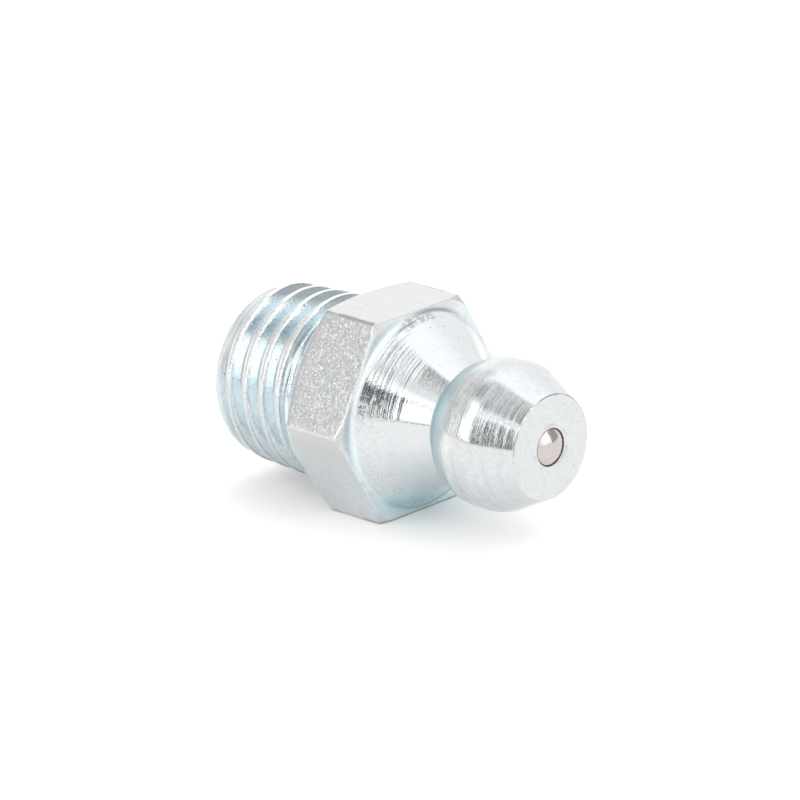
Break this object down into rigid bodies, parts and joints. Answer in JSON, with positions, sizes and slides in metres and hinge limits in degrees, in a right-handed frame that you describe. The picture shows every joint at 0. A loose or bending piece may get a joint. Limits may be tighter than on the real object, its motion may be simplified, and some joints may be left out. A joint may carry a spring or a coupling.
{
  "type": "grease nipple",
  "caption": "Straight cone-head grease nipple with a hexagon, a short M8 threaded shank and a spring-loaded check ball in its head.",
  "frame": {"origin": "on the axis, in the plane of the hexagon's rear face, where the shank begins", "axes": "+X along the axis towards the head, +Z the outward normal of one hexagon flat; the nipple lies on the opposite flat, the plane z = -4.46 mm"},
  "size_m": [0.0164, 0.0102, 0.009],
  "materials": {
    "plated_steel": "turned steel, zinc plated with a pale blue passivation, satin to bright",
    "ball_steel": "polished bearing steel",
    "spring_steel": "bright drawn spring wire"
  },
  "bodies": {
    "nipple": {"body": "plated_steel", "spring": "spring_steel"},
    "check_ball": {"ball": "ball_steel"}
  },
  "joints": [
    {"name": "ball_slide", "type": "slide", "parent": "nipple", "child": "check_ball", "axis": [-1, 0, 0], "range_m": [0, 0.0015], "stiffness_N_per_m": 500, "deforming": ["spring"]}
  ]
}
